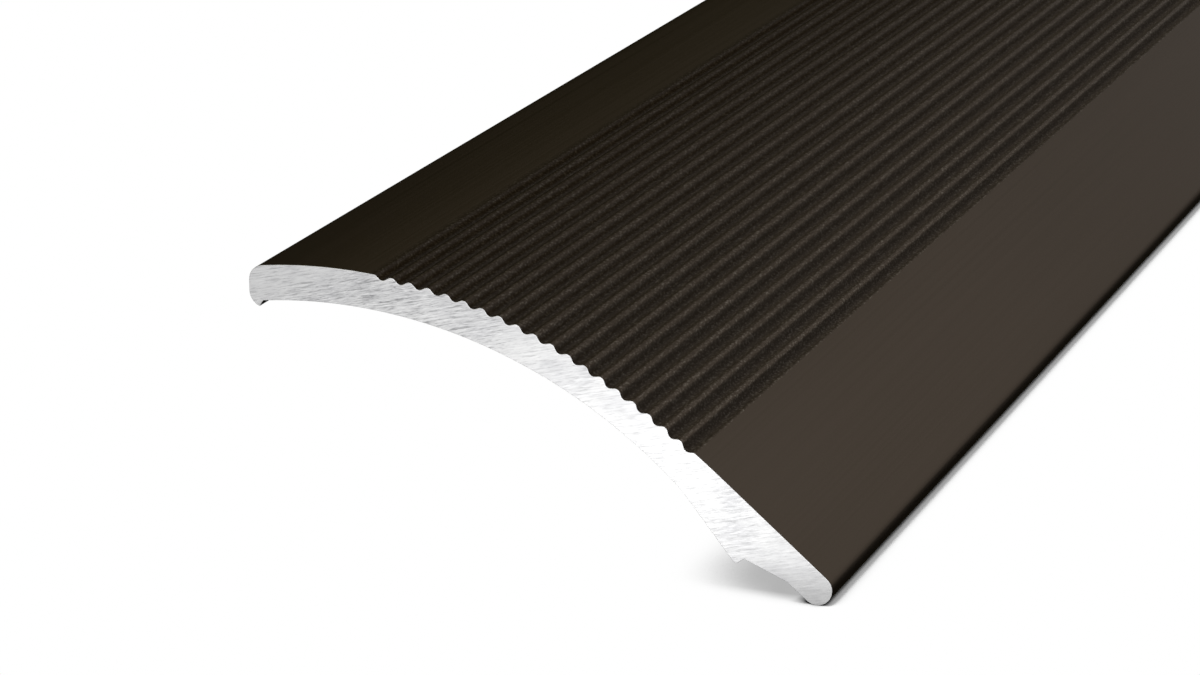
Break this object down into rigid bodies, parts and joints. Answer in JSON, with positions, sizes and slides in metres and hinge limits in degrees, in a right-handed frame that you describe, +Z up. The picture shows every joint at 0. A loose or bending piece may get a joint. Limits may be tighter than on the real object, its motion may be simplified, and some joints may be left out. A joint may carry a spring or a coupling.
{
  "type": "floor levelling profile",
  "caption": "Arched, ridged self-adhesive threshold ramp that bridges two floor levels at a doorway; lipped flange above, plain ramp and rounded toe below.",
  "frame": {"origin": "centre of the bonding face under the flange, on the upper floor, halfway along the profile", "axes": "+X down the ramp towards the lower floor, +Y along the profile, +Z up as installed at the largest step"},
  "size_m": [0.0409, 0.9, 0.019],
  "materials": {
    "anodised_aluminium": "satin dark bronze anodised, bare at the cut ends",
    "foam_tape": "closed-cell foam",
    "release_film": "siliconised film"
  },
  "bodies": {
    "profile": {"profile": "anodised_aluminium", "flange_tape": "foam_tape", "foot_tape": "foam_tape"},
    "flange_liner": {"flange_liner": "release_film"},
    "foot_liner": {"foot_liner": "release_film"}
  },
  "joints": [
    {"name": "flange_liner_pull", "type": "slide", "parent": "profile", "child": "flange_liner", "axis": [0, -1, 0], "range_m": [0, 0.9]},
    {"name": "foot_liner_pull", "type": "slide", "parent": "profile", "child": "foot_liner", "axis": [0, -1, 0], "range_m": [0, 0.9]}
  ]
}
